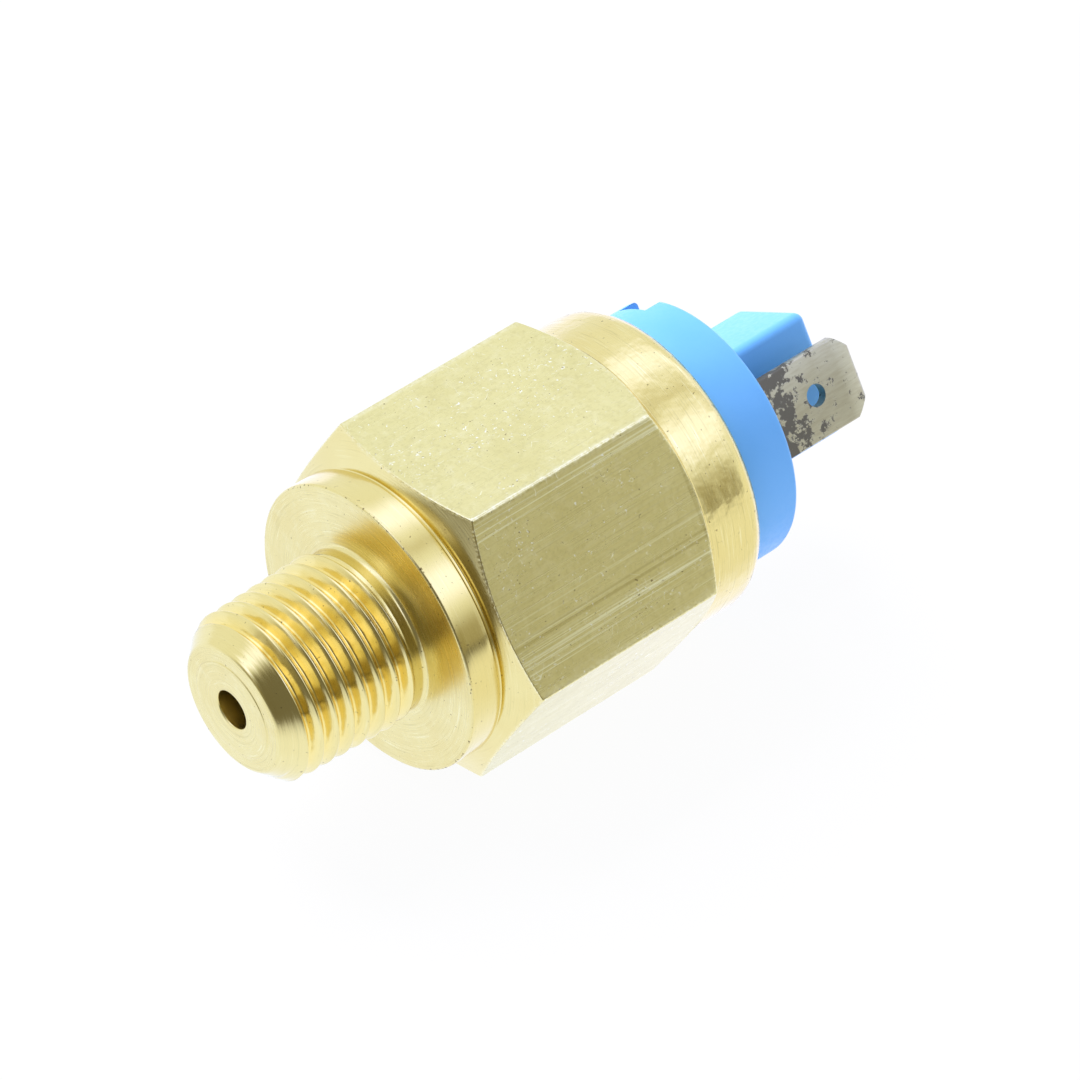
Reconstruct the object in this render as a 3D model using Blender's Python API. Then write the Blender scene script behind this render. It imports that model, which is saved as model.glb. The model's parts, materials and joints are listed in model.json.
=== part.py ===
"""Pressure switch: a brass hexagon body with a threaded port, crimped over a plastic terminal cap.

+X runs along the switch axis from the port to the terminals, and the seat face is at x = 0.
+Z is up, with the switch lying on one flat of its hexagon. Units are metres.
"""

import math

import bmesh
import bpy
import numpy as np

MM = 0.001
GAP = 0.1 * MM  # clearance between neighbouring pieces

# Brass body
PORT_LENGTH = 12.2 * MM
PORT_TIP_RADIUS = 4.85 * MM
PORT_CHAMFER = 1.9 * MM
GAUGE_RADIUS = 6.578 * MM  # of the taper thread, at the gauge length from the port's tip
GAUGE_LENGTH = 6.0 * MM
THREAD_TAPER = 1 / 32
ORIFICE_RADIUS = 1.5 * MM
COLLAR_RADIUS = 11.17 * MM
COLLAR_LENGTH = 2.55 * MM
GROOVE_RADIUS = 10.9 * MM
HEX_ACROSS_FLATS = 24.0 * MM
HEX_START = 2.8 * MM
HEX_END = 21.6 * MM
HEX_FRONT_CHAMFER = 1.3 * MM
HEX_BACK_CHAMFER = 1.4 * MM
SKIRT_RADIUS = 11.95 * MM
SKIRT_WALL = 0.9 * MM
CRIMP_START = 25.35 * MM
CRIMP_ROLL = 1.6 * MM
DISH_RADIUS = 6.5 * MM
DISH_START = 6.0 * MM
CHAMBER_START = 6.9 * MM
CHAMBER_RADIUS = 9.6 * MM
CAP_SEAT = 20.6 * MM

# Terminal cap, turned about the switch axis
CAP_TURN = math.radians(-30.0)
CAP_RADIUS = 10.2 * MM
CAP_FACE = 31.45 * MM
CAP_EDGE = 0.35 * MM
CAP_FLANGE_START = 21.9 * MM
BLOCK_HALF_THICKNESS = 3.8 * MM
BLOCK_TOP = 4.95 * MM
BLOCK_BOTTOM = -4.5 * MM
BLOCK_END = 40.7 * MM
BLOCK_EDGE = 0.7 * MM
NOTCH_NEAR = -1.26 * MM
NOTCH_FAR = 2.02 * MM
NOTCH_FLOOR = 29.8 * MM
NOTCH_ROOT = 7.0 * MM
SEAL_WIRE_RADIUS = 0.55 * MM

# Spade terminals
TAB_WIDTH = 6.3 * MM
TAB_THICKNESS = 0.8 * MM
TAB_OUTER_FACE = 6.95 * MM
TAB_END = 41.15 * MM
TAB_CORNER = 1.1 * MM
TAB_HOLE_X = 37.1 * MM
TAB_HOLE_RADIUS = 0.84 * MM
TAB_FOOT_START = 19.85 * MM
TAB_FOOT_THICKNESS = 0.75 * MM
TAB_FOOT_TOE = 4.5 * MM

# Contacts
CONTACT_OFFSET = 5.6 * MM
CONTACT_RADIUS = 1.1 * MM
CONTACT_SHANK_RADIUS = 0.6 * MM
CONTACT_HEIGHT = 0.75 * MM
CONTACT_AIR_GAP = 0.8 * MM
BRIDGE_RADIUS = 7.2 * MM
BRIDGE_THICKNESS = 0.6 * MM

# Diaphragm, plunger and spring
DIAPHRAGM_THICKNESS = 1.0 * MM
CLAMP_THICKNESS = 1.5 * MM
SLEEVE_WALL = 1.0 * MM
PLATE_RADIUS = 6.2 * MM
PLATE_THICKNESS = 0.8 * MM
PLUNGER_FLANGE = 1.2 * MM
PLUNGER_RADIUS = 4.6 * MM
PLUNGER_NECK_RADIUS = 3.7 * MM
PLUNGER_END = 19.0 * MM
POCKET_RADIUS = 3.2 * MM
POCKET_FLOOR = 11.2 * MM
SPRING_RADIUS = 2.45 * MM
SPRING_WIRE = 0.9 * MM
SPRING_END = 29.4 * MM
SPRING_TURNS = 10
SPRING_POINTS_PER_TURN = 9
SEAT_WASHER = 0.5 * MM

# Pressure adjuster
SEAT_RADIUS = 3.1 * MM
SEAT_THICKNESS = 1.0 * MM
SEAT_NOSE_RADIUS = 1.8 * MM
SEAT_NOSE_LENGTH = 1.5 * MM
SPRING_BORE_RADIUS = 3.3 * MM
SPRING_BORE_END = 31.3 * MM
BUSH_RADIUS = 2.8 * MM
BUSH_END = 39.6 * MM
SCREW_RADIUS = 1.95 * MM
SCREW_LENGTH = 8.4 * MM
SCREW_POINT_RADIUS = 1.3 * MM
SCREW_POINT_LENGTH = 0.8 * MM
SCREW_SLOT_WIDTH = 0.8 * MM
SCREW_SLOT_DEPTH = 1.2 * MM

ROUND_LARGE = 48
ROUND_SMALL = 24
ARC_STEPS = 4
EDGE_STEPS = 3
REACH = 2.0 * MM  # how far a cutter runs past the face it opens
MERGE_DISTANCE = 0.0005 * MM
SHARP_ANGLE = math.radians(25)

# Colour, roughness and metallic value of each kind of surface
BRASS = ((0.76, 0.68, 0.36), 0.3, 1.0)
BLUE_PLASTIC = ((0.16, 0.46, 0.83), 0.45, 0.0)
TINNED_BRASS = ((0.55, 0.50, 0.38), 0.35, 1.0)
RUBBER = ((0.03, 0.03, 0.03), 0.7, 0.0)
STEEL = ((0.60, 0.60, 0.60), 0.3, 1.0)
IVORY_PLASTIC = ((0.80, 0.77, 0.68), 0.5, 0.0)
SILVER = ((0.90, 0.89, 0.86), 0.25, 1.0)


def add_object(name, data, finish, parent=None, location=(0.0, 0.0, 0.0)):
    """Put a mesh or curve in the scene with a material of its own."""
    colour, roughness, metallic = finish
    material = bpy.data.materials.new(name)
    material.use_nodes = True
    shader = material.node_tree.nodes["Principled BSDF"]
    shader.inputs["Base Color"].default_value = (*colour, 1.0)
    shader.inputs["Roughness"].default_value = roughness
    shader.inputs["Metallic"].default_value = metallic
    data.materials.append(material)
    piece = bpy.data.objects.new(name, data)
    bpy.context.scene.collection.objects.link(piece)
    piece.parent = parent
    piece.location = location
    return piece


def mesh_from(name, bm):
    """Close a bmesh into a mesh with outward faces, smooth except at its real edges."""
    bmesh.ops.remove_doubles(bm, verts=bm.verts, dist=MERGE_DISTANCE)
    bmesh.ops.recalc_face_normals(bm, faces=bm.faces)
    mesh = bpy.data.meshes.new(name)
    bm.to_mesh(mesh)
    bm.free()
    mesh.shade_smooth()
    mesh.set_sharp_from_angle(angle=SHARP_ANGLE)
    return mesh


def arc(centre_x, centre_r, radius, start, end):
    """Points (x, r) on a circular arc, with angles in degrees from the radial direction towards +X."""
    angles = np.radians(np.linspace(start, end, ARC_STEPS + 1))
    return [(centre_x + radius * math.sin(a), centre_r + radius * math.cos(a)) for a in angles]


def turned(name, profile, segments):
    """Spin a profile of (x, r) points about the X axis. It is closed unless both ends lie on the axis."""
    bm = bmesh.new()
    verts = [bm.verts.new((x, 0.0, r)) for x, r in profile]
    following = verts[1:] if profile[0][1] == 0.0 and profile[-1][1] == 0.0 else verts[1:] + verts[:1]
    edges = [bm.edges.new(pair) for pair in zip(verts, following)]
    bmesh.ops.spin(
        bm,
        geom=verts + edges,
        cent=(0.0, 0.0, 0.0),
        axis=(1.0, 0.0, 0.0),
        angle=math.tau,
        steps=segments,
        use_merge=True,
    )
    return mesh_from(name, bm)


def ring(name, length, inner, outer, segments=ROUND_SMALL):
    """A plain ring along +X from its own origin."""
    return turned(name, [(0.0, inner), (0.0, outer), (length, outer), (length, inner)], segments)


def rod(name, length, radius, segments=ROUND_SMALL):
    """A plain round rod along +X from its own origin."""
    return turned(name, [(0.0, 0.0), (0.0, radius), (length, radius), (length, 0.0)], segments)


def slab(name, low, high, edge=0.0):
    """A box between two corners, with the edges along and at the end of X rounded if asked."""
    bm = bmesh.new()
    bmesh.ops.create_cube(bm, size=1.0)
    for vert in bm.verts:
        vert.co = [a if side < 0.0 else b for a, b, side in zip(low, high, vert.co)]
    if edge:
        rounded = [e for e in bm.edges if max(v.co.x for v in e.verts) > 0.5 * (low[0] + high[0])]
        bmesh.ops.bevel(bm, geom=rounded, offset=edge, segments=EDGE_STEPS, profile=0.5, affect="EDGES")
    return mesh_from(name, bm)


def plate(name, outline, near, far):
    """A flat plate: an outline of (x, z) points carried along Y from one face to the other."""
    bm = bmesh.new()
    face = bm.faces.new([bm.verts.new((x, near, z)) for x, z in outline])
    grown = bmesh.ops.extrude_face_region(bm, geom=[face])["geom"]
    moved = [item for item in grown if isinstance(item, bmesh.types.BMVert)]
    bmesh.ops.translate(bm, verts=moved, vec=(0.0, far - near, 0.0))
    return mesh_from(name, bm)


def shape_with(piece, operation, mesh, parent=None, location=(0.0, 0.0, 0.0), turn=0.0):
    """Join, cut or trim a piece by a hidden helper solid; turn is about Z, in radians."""
    helper = bpy.data.objects.new(mesh.name, mesh)
    bpy.context.scene.collection.objects.link(helper)
    helper.parent = parent
    helper.location = location
    helper.rotation_euler = (0.0, 0.0, turn)
    helper.hide_render = True
    helper.display_type = "WIRE"
    modifier = piece.modifiers.new(mesh.name, "BOOLEAN")
    modifier.operation = operation
    modifier.solver = "EXACT"
    modifier.object = helper


def make_body():
    """The turned body, from the port tip to the rolled crimp, trimmed to a hexagon across its middle."""
    half_flats = HEX_ACROSS_FLATS / 2
    corner = half_flats / math.cos(math.pi / 6)
    crimp_bore = SKIRT_RADIUS - SKIRT_WALL
    roll_centre = SKIRT_RADIUS - CRIMP_ROLL
    thread_start = GAUGE_RADIUS - (GAUGE_LENGTH - PORT_CHAMFER) * THREAD_TAPER
    thread_end = GAUGE_RADIUS + (PORT_LENGTH - GAUGE_LENGTH) * THREAD_TAPER
    outside = [
        (-PORT_LENGTH, ORIFICE_RADIUS),
        (-PORT_LENGTH, PORT_TIP_RADIUS),
        (-PORT_LENGTH + PORT_CHAMFER, thread_start),
        (0.0, thread_end),
        (0.0, COLLAR_RADIUS),
        (COLLAR_LENGTH, COLLAR_RADIUS),
        (COLLAR_LENGTH, GROOVE_RADIUS),
        (HEX_START, GROOVE_RADIUS),
        (HEX_START + HEX_FRONT_CHAMFER, corner + GAP),
        (HEX_END - HEX_BACK_CHAMFER, corner + GAP),
        (HEX_END, SKIRT_RADIUS),
    ]
    roll = arc(CRIMP_START, roll_centre, CRIMP_ROLL, 0, 90)
    roll_inside = arc(CRIMP_START, roll_centre, CRIMP_ROLL - SKIRT_WALL, 90, 0)
    inside = [
        (CAP_SEAT, crimp_bore),
        (CAP_SEAT, CHAMBER_RADIUS),
        (CHAMBER_START, CHAMBER_RADIUS),
        (CHAMBER_START, DISH_RADIUS),
        (DISH_START, DISH_RADIUS),
        (DISH_START, ORIFICE_RADIUS),
    ]
    mesh = turned("body", outside + roll + roll_inside + inside, ROUND_LARGE)
    body = add_object("body", mesh, BRASS)
    side = [(corner * math.cos(k * math.pi / 3), corner * math.sin(k * math.pi / 3)) for k in range(6)]
    prism = plate("hexagon", side, -PORT_LENGTH - REACH, CRIMP_START + CRIMP_ROLL + REACH)
    shape_with(body, "INTERSECT", prism, turn=-math.pi / 2)


def make_diaphragm_stack():
    """Rubber diaphragm, its clamp ring and the sleeve that carries the cap's load to the ring."""
    radius = CHAMBER_RADIUS - GAP
    at = CHAMBER_START + GAP
    add_object("diaphragm", rod("diaphragm", DIAPHRAGM_THICKNESS, radius, ROUND_LARGE), RUBBER,
               location=(at, 0.0, 0.0))
    at += DIAPHRAGM_THICKNESS + GAP
    clamp = ring("diaphragm_clamp_ring", CLAMP_THICKNESS, PLATE_RADIUS + 2 * GAP, radius, ROUND_LARGE)
    add_object("diaphragm_clamp_ring", clamp, STEEL, location=(at, 0.0, 0.0))
    at += CLAMP_THICKNESS + GAP
    sleeve = ring("spacer_sleeve", CAP_SEAT - at, radius - SLEEVE_WALL, radius, ROUND_LARGE)
    add_object("spacer_sleeve", sleeve, IVORY_PLASTIC, location=(at, 0.0, 0.0))


def make_plunger(cap_axis):
    """Pressure plate, plunger and the contact bridge that rides on it."""
    plate_x = CHAMBER_START + DIAPHRAGM_THICKNESS + 2 * GAP
    add_object("plunger_plate", rod("plunger_plate", PLATE_THICKNESS, PLATE_RADIUS), STEEL,
               location=(plate_x, 0.0, 0.0))
    base = plate_x + PLATE_THICKNESS + GAP
    fixed_face = TAB_FOOT_START - GAP - CONTACT_HEIGHT
    button_x = fixed_face - CONTACT_AIR_GAP - CONTACT_HEIGHT
    bridge_x = button_x - GAP - BRIDGE_THICKNESS
    shoulder = bridge_x - GAP
    profile = [
        (0.0, 0.0),
        (0.0, PLATE_RADIUS),
        (PLUNGER_FLANGE, PLATE_RADIUS),
        (PLUNGER_FLANGE, PLUNGER_RADIUS),
        (shoulder - base, PLUNGER_RADIUS),
        (shoulder - base, PLUNGER_NECK_RADIUS),
        (PLUNGER_END - base, PLUNGER_NECK_RADIUS),
        (PLUNGER_END - base, POCKET_RADIUS),
        (POCKET_FLOOR - base, POCKET_RADIUS),
        (POCKET_FLOOR - base, 0.0),
    ]
    add_object("plunger", turned("plunger", profile, ROUND_SMALL), IVORY_PLASTIC, location=(base, 0.0, 0.0))
    neck = PLUNGER_NECK_RADIUS + GAP
    strip = ring("contact_bridge", BRIDGE_THICKNESS, neck, BRIDGE_RADIUS)
    bridge = add_object("contact_bridge", strip, BRASS, cap_axis, (bridge_x, 0.0, 0.0))
    retainer = ring("bridge_retainer", BRIDGE_THICKNESS, neck, CONTACT_OFFSET - CONTACT_RADIUS - GAP)
    add_object("bridge_retainer", retainer, STEEL, location=(button_x, 0.0, 0.0))
    for word, side in (("near", -1), ("far", 1)):
        button = [
            (-BRIDGE_THICKNESS, 0.0),
            (-BRIDGE_THICKNESS, CONTACT_SHANK_RADIUS),
            (0.0, CONTACT_SHANK_RADIUS),
            (0.0, CONTACT_RADIUS),
            (CONTACT_HEIGHT, CONTACT_RADIUS),
            (CONTACT_HEIGHT, 0.0),
        ]
        name = "moving_contact_" + word
        spot = side * CONTACT_OFFSET
        add_object(name, turned(name, button, ROUND_SMALL // 2), SILVER, cap_axis, (button_x, spot, 0.0))
        hole_radius = CONTACT_SHANK_RADIUS + GAP
        hole = rod("bridge_hole_" + word, BRIDGE_THICKNESS + 2 * REACH, hole_radius, ROUND_SMALL // 2)
        shape_with(bridge, "DIFFERENCE", hole, cap_axis, (bridge_x - REACH, spot, 0.0))


def make_spring():
    """The main spring between its two seats: one helical wire with open, evenly spaced coils."""
    start = POCKET_FLOOR + GAP
    washer = ring("lower_spring_seat", SEAT_WASHER, SPRING_RADIUS / 2, SEAT_RADIUS)
    add_object("lower_spring_seat", washer, STEEL, location=(start, 0.0, 0.0))
    wire = SPRING_WIRE / 2
    low = start + SEAT_WASHER + GAP + wire
    high = SPRING_END - wire
    along = np.linspace(0.0, 1.0, SPRING_TURNS * SPRING_POINTS_PER_TURN + 1)
    angle = math.tau * SPRING_TURNS * along
    points = np.stack(
        [low + (high - low) * along, SPRING_RADIUS * np.cos(angle), SPRING_RADIUS * np.sin(angle)], axis=1
    )
    apart = np.linalg.norm(points[:, None] - points[None], axis=2)
    index = np.arange(len(points))
    other_coil = np.abs(index[:, None] - index[None]) > SPRING_POINTS_PER_TURN // 2
    print(f"main_spring least gap to itself: {(apart[other_coil].min() - SPRING_WIRE) / MM:.2f} mm")
    curve = bpy.data.curves.new("main_spring", "CURVE")
    curve.dimensions = "3D"
    curve.bevel_depth = wire
    curve.bevel_resolution = 1
    curve.use_fill_caps = True
    spline = curve.splines.new("POLY")
    spline.points.add(len(points) - 1)
    for place, point in zip(spline.points, points):
        place.co = (*point, 1.0)
    add_object("main_spring", curve, STEEL)


def make_adjuster():
    """Upper spring seat, adjusting screw and the threaded bush in the cap's block."""
    seat_x = SPRING_END + GAP
    seat = [
        (-SEAT_NOSE_LENGTH, 0.0),
        (-SEAT_NOSE_LENGTH, SEAT_NOSE_RADIUS),
        (0.0, SEAT_NOSE_RADIUS),
        (0.0, SEAT_RADIUS),
        (SEAT_THICKNESS, SEAT_RADIUS),
        (SEAT_THICKNESS, 0.0),
    ]
    add_object("upper_spring_seat", turned("upper_spring_seat", seat, ROUND_SMALL), STEEL,
               location=(seat_x, 0.0, 0.0))
    screw_x = seat_x + SEAT_THICKNESS + GAP
    taper = SCREW_RADIUS - SCREW_POINT_RADIUS
    screw = [
        (0.0, 0.0),
        (0.0, SCREW_POINT_RADIUS),
        (SCREW_POINT_LENGTH, SCREW_POINT_RADIUS),
        (SCREW_POINT_LENGTH + taper, SCREW_RADIUS),
        (SCREW_LENGTH, SCREW_RADIUS),
        (SCREW_LENGTH, 0.0),
    ]
    piece = add_object("adjusting_screw", turned("adjusting_screw", screw, ROUND_SMALL), BRASS,
                       location=(screw_x, 0.0, 0.0))
    slot_floor = screw_x + SCREW_LENGTH - SCREW_SLOT_DEPTH
    half_slot = SCREW_SLOT_WIDTH / 2
    slot = slab("screw_slot", (slot_floor, -half_slot, -SCREW_RADIUS - REACH),
                (slot_floor + SCREW_SLOT_DEPTH + REACH, half_slot, SCREW_RADIUS + REACH))
    shape_with(piece, "DIFFERENCE", slot)
    bush_x = SPRING_BORE_END + GAP
    bush = ring("adjuster_bush", BUSH_END - bush_x, SCREW_RADIUS + GAP, BUSH_RADIUS)
    add_object("adjuster_bush", bush, BRASS, location=(bush_x, 0.0, 0.0))


def make_cap(cap_axis):
    """The moulded cap: a flanged disc, the adjuster block, its bores, the tab slots and the key notch."""
    plug_radius = CHAMBER_RADIUS - GAP
    flange_radius = SKIRT_RADIUS - SKIRT_WALL - GAP
    plug_x = CAP_SEAT + GAP
    roll_centre = SKIRT_RADIUS - CRIMP_ROLL
    shoulder = arc(CRIMP_START, roll_centre, flange_radius - roll_centre, 0, 90)
    edge = arc(CAP_FACE - CAP_EDGE, CAP_RADIUS - CAP_EDGE, CAP_EDGE, 0, 90)
    profile = [
        (plug_x, 0.0),
        (plug_x, plug_radius),
        (CAP_FLANGE_START, plug_radius),
        (CAP_FLANGE_START, flange_radius),
        *shoulder,
        (shoulder[-1][0], CAP_RADIUS),
        *edge,
        (CAP_FACE, 0.0),
    ]
    cap = add_object("terminal_cap", turned("terminal_cap", profile, ROUND_LARGE), BLUE_PLASTIC, cap_axis)
    block = slab("block", (CAP_FACE - REACH, -BLOCK_HALF_THICKNESS, BLOCK_BOTTOM),
                 (BLOCK_END, BLOCK_HALF_THICKNESS, BLOCK_TOP), BLOCK_EDGE)
    shape_with(cap, "UNION", block, cap_axis)
    bore = [
        (plug_x - REACH, 0.0),
        (plug_x - REACH, SPRING_BORE_RADIUS),
        (SPRING_BORE_END, SPRING_BORE_RADIUS),
        (SPRING_BORE_END, BUSH_RADIUS + GAP),
        (BLOCK_END + REACH, BUSH_RADIUS + GAP),
        (BLOCK_END + REACH, 0.0),
    ]
    shape_with(cap, "DIFFERENCE", turned("adjuster_bore", bore, ROUND_SMALL), cap_axis)
    half_slot = TAB_WIDTH / 2 + GAP
    inner = TAB_OUTER_FACE - TAB_THICKNESS - GAP
    outer = TAB_OUTER_FACE + GAP
    for word, low, high in (("near", -outer, -inner), ("far", inner, outer)):
        slot = slab("tab_slot_" + word, (plug_x - REACH, low, -half_slot),
                    (CAP_FACE + REACH, high, half_slot))
        shape_with(cap, "DIFFERENCE", slot, cap_axis)
    notch = slab("key_notch", (NOTCH_FLOOR, NOTCH_NEAR, NOTCH_ROOT),
                 (CAP_FACE + REACH, NOTCH_FAR, CAP_RADIUS + REACH))
    shape_with(cap, "DIFFERENCE", notch, cap_axis)
    middle = (CAP_SEAT + CAP_FLANGE_START) / 2
    lane = (plug_radius + SKIRT_RADIUS - SKIRT_WALL) / 2
    outer_half = arc(middle, lane, SEAL_WIRE_RADIUS, -90, 90)[:-1]
    inner_half = arc(middle, lane, SEAL_WIRE_RADIUS, 90, 270)[:-1]
    section = outer_half + inner_half
    add_object("cap_seal_ring", turned("cap_seal_ring", section, ROUND_LARGE), RUBBER)


def make_terminals(cap_axis):
    """Two bent spade terminals through the cap, each with a contact rivet in its inner foot."""
    half = TAB_WIDTH / 2
    outline = [
        (TAB_FOOT_START, -half),
        (TAB_END - TAB_CORNER, -half),
        (TAB_END, -half + TAB_CORNER),
        (TAB_END, half - TAB_CORNER),
        (TAB_END - TAB_CORNER, half),
        (TAB_FOOT_START, half),
    ]
    foot_end = TAB_FOOT_START + TAB_FOOT_THICKNESS
    inner_face = TAB_OUTER_FACE - TAB_THICKNESS
    rivet = [
        (-CONTACT_HEIGHT, 0.0),
        (-CONTACT_HEIGHT, CONTACT_RADIUS),
        (0.0, CONTACT_RADIUS),
        (0.0, CONTACT_SHANK_RADIUS),
        (TAB_FOOT_THICKNESS, CONTACT_SHANK_RADIUS),
        (TAB_FOOT_THICKNESS, 0.0),
    ]
    for word, side in (("near", -1), ("far", 1)):
        name = "terminal_tab_" + word
        blade = plate(name, outline, side * TAB_OUTER_FACE, side * inner_face)
        tab = add_object(name, blade, TINNED_BRASS, cap_axis)
        ends = sorted((side * TAB_FOOT_TOE, side * (inner_face + TAB_THICKNESS / 2)))
        foot = slab("foot_" + word, (TAB_FOOT_START, ends[0], -half), (foot_end, ends[1], half))
        shape_with(tab, "UNION", foot, cap_axis)
        hole = rod("tab_hole_" + word, 2 * REACH, TAB_HOLE_RADIUS, ROUND_SMALL)
        spot = (TAB_HOLE_X, side * (inner_face + TAB_THICKNESS / 2) - REACH, 0.0)
        shape_with(tab, "DIFFERENCE", hole, cap_axis, spot, turn=math.pi / 2)
        rivet_x = TAB_FOOT_START - GAP
        rivet_hole = rod("rivet_hole_" + word, TAB_FOOT_THICKNESS + 2 * REACH, CONTACT_SHANK_RADIUS + GAP,
                         ROUND_SMALL // 2)
        place = (rivet_x, side * CONTACT_OFFSET, 0.0)
        shape_with(tab, "DIFFERENCE", rivet_hole, cap_axis, (rivet_x - REACH / 2, place[1], 0.0))
        name = "fixed_contact_" + word
        add_object(name, turned(name, rivet, ROUND_SMALL // 2), SILVER, cap_axis, place)


def main():
    for item in list(bpy.data.objects):
        bpy.data.objects.remove(item, do_unlink=True)
    cap_axis = bpy.data.objects.new("cap_axis", None)
    bpy.context.scene.collection.objects.link(cap_axis)
    cap_axis.rotation_euler = (CAP_TURN, 0.0, 0.0)
    make_body()
    make_diaphragm_stack()
    make_plunger(cap_axis)
    make_spring()
    make_adjuster()
    make_cap(cap_axis)
    make_terminals(cap_axis)


main()
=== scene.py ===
"""Looks of the pressure switch: machined brass body with its pipe thread, blue terminal cap and spade tabs.

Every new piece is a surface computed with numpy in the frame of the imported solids, in metres, with the
switch axis along +X. Of the inner pieces only the main spring is new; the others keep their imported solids.
All have procedural finishes.
"""

import json
import math

import bpy
import numpy as np
from mathutils import Matrix, Vector


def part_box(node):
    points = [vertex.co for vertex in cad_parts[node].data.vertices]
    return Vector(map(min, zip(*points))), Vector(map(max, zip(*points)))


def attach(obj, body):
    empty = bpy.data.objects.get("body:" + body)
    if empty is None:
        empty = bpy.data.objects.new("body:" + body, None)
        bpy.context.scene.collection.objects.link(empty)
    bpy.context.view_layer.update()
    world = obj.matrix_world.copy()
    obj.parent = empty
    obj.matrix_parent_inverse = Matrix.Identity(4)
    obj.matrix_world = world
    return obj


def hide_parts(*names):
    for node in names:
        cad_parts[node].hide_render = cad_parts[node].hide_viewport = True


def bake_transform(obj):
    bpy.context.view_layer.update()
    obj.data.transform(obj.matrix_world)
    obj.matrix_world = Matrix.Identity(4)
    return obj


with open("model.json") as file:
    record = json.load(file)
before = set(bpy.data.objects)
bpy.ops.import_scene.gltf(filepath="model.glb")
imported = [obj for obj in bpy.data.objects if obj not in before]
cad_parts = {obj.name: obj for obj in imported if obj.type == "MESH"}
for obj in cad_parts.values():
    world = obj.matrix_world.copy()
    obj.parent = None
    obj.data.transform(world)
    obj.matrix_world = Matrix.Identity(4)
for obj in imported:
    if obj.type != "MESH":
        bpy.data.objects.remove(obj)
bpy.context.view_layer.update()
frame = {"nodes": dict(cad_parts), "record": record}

MM = 0.001

# Body sizes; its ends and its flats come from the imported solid
BODY_LOW, BODY_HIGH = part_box("body")
PORT_TIP = BODY_LOW.x
CRIMP_END = BODY_HIGH.x
FLOOR_HEIGHT = BODY_LOW.z
HALF_FLATS = BODY_HIGH.z
ORIFICE_RADIUS = 1.5 * MM
TIP_RADIUS = 4.85 * MM
TIP_CHAMFER = 1.75 * MM
TIP_LAND = 1.1 * MM
TIP_STEP = 0.06 * MM
GAUGE_RADIUS = 6.578 * MM
GAUGE_PLACE = PORT_TIP + 6.0 * MM
THREAD_TAPER = 1 / 32
THREAD_PITCH = 1.337 * MM
THREAD_PHASE = -0.07 * MM
THREAD_DEPTH = 0.80 * MM
THREAD_END = -1.0 * MM
THREAD_RUNOUT = 0.6 * MM
CREST_WIDTH = 0.10 * MM
ROOT_WIDTH = 0.15 * MM
NECK_RADIUS = 6.3 * MM
NECK_FILLET = 0.4 * MM
COLLAR_RADIUS = 11.17 * MM
COLLAR_LENGTH = 2.55 * MM
GROOVE_RADIUS = 10.9 * MM
HEX_START = 2.8 * MM
HEX_END = 21.6 * MM
HEX_FRONT_CHAMFER = 1.3 * MM
HEX_BACK_CHAMFER = 1.4 * MM
HEX_EDGE_BLEND = 0.18 * MM
SKIRT_RADIUS = 11.95 * MM
SKIRT_WALL = 0.9 * MM
CRIMP_ROLL = 1.6 * MM
DISH_RADIUS = 6.5 * MM
DISH_START = 6.0 * MM
CHAMBER_START = 6.9 * MM
CHAMBER_RADIUS = 9.6 * MM
CAP_SEAT = 20.6 * MM
FRONT_FLAT = math.radians(150.0)  # the flat that is seen best, from +Y towards +Z
FRONT_FLAT_OUT = (0.0, math.cos(FRONT_FLAT), math.sin(FRONT_FLAT))
FRONT_FLAT_UP = (0.0, math.sin(FRONT_FLAT), -math.cos(FRONT_FLAT))

# Reach of the marks on the body
FLAT_MARGIN = 0.12 * MM
EDGE_WEAR = 0.2 * MM
FACE_MARGIN = 0.15 * MM
SKIRT_FADE = 0.5 * MM
PORT_FADE = 0.4 * MM
PORT_MARK_END = -0.5 * MM

# Where the front flat is scored, up it from its middle: each pair is from none to full
UPPER_STRIP = (4.7 * MM, 5.3 * MM)
LOWER_STRIP_TOP = (-0.4 * MM, -2.0 * MM)
LOWER_STRIP_FOOT = (-6.9 * MM, -5.4 * MM)
FRONT_FLAT_DEPTH = (HALF_FLATS - 0.3 * MM, HALF_FLATS - 0.05 * MM)

# Cap and tab sizes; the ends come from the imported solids
CAP_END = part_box("terminal_cap")[1].x
TAB_LOW, TAB_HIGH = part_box("terminal_tab_near")
CAP_TURN = math.radians(-30.0)
CAP_RADIUS = 10.2 * MM
CAP_FACE = 31.45 * MM
CAP_EDGE = 0.35 * MM
CAP_FLANGE_START = 21.9 * MM
CAP_SHOULDER_ROUNDING = 0.55 * MM
CAP_COLUMNS = 144
BLOCK_HALF_THICKNESS = 3.8 * MM
BLOCK_TOP = 4.95 * MM
BLOCK_BOTTOM = -4.5 * MM
BLOCK_EDGE = 0.7 * MM
SPRING_BORE_RADIUS = 3.3 * MM
SPRING_BORE_END = 31.3 * MM
BUSH_BORE_RADIUS = 2.9 * MM
NOTCH_NEAR = -1.26 * MM
NOTCH_FAR = 2.02 * MM
NOTCH_FLOOR = 29.8 * MM
NOTCH_ROOT = 7.0 * MM
TAB_WIDTH = 6.3 * MM
TAB_THICKNESS = 0.8 * MM
TAB_OUTER_FACE = 6.95 * MM
TAB_CORNER = 1.1 * MM
TAB_HOLE_X = 37.1 * MM
TAB_HOLE_RADIUS = 0.84 * MM
TAB_FOOT_TOE = 4.5 * MM
TAB_BEND = 0.6 * TAB_THICKNESS
TAB_EDGE = 0.12 * MM
TAB_TIP_THINNING = 0.16 * MM
TAB_TIP_REACH = 0.2 * MM
GAP = 0.1 * MM  # room between neighbours
PAST = 2.0 * MM  # how far a cutter stands out of what it cuts
SHARP_EDGE = math.radians(38)

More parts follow.
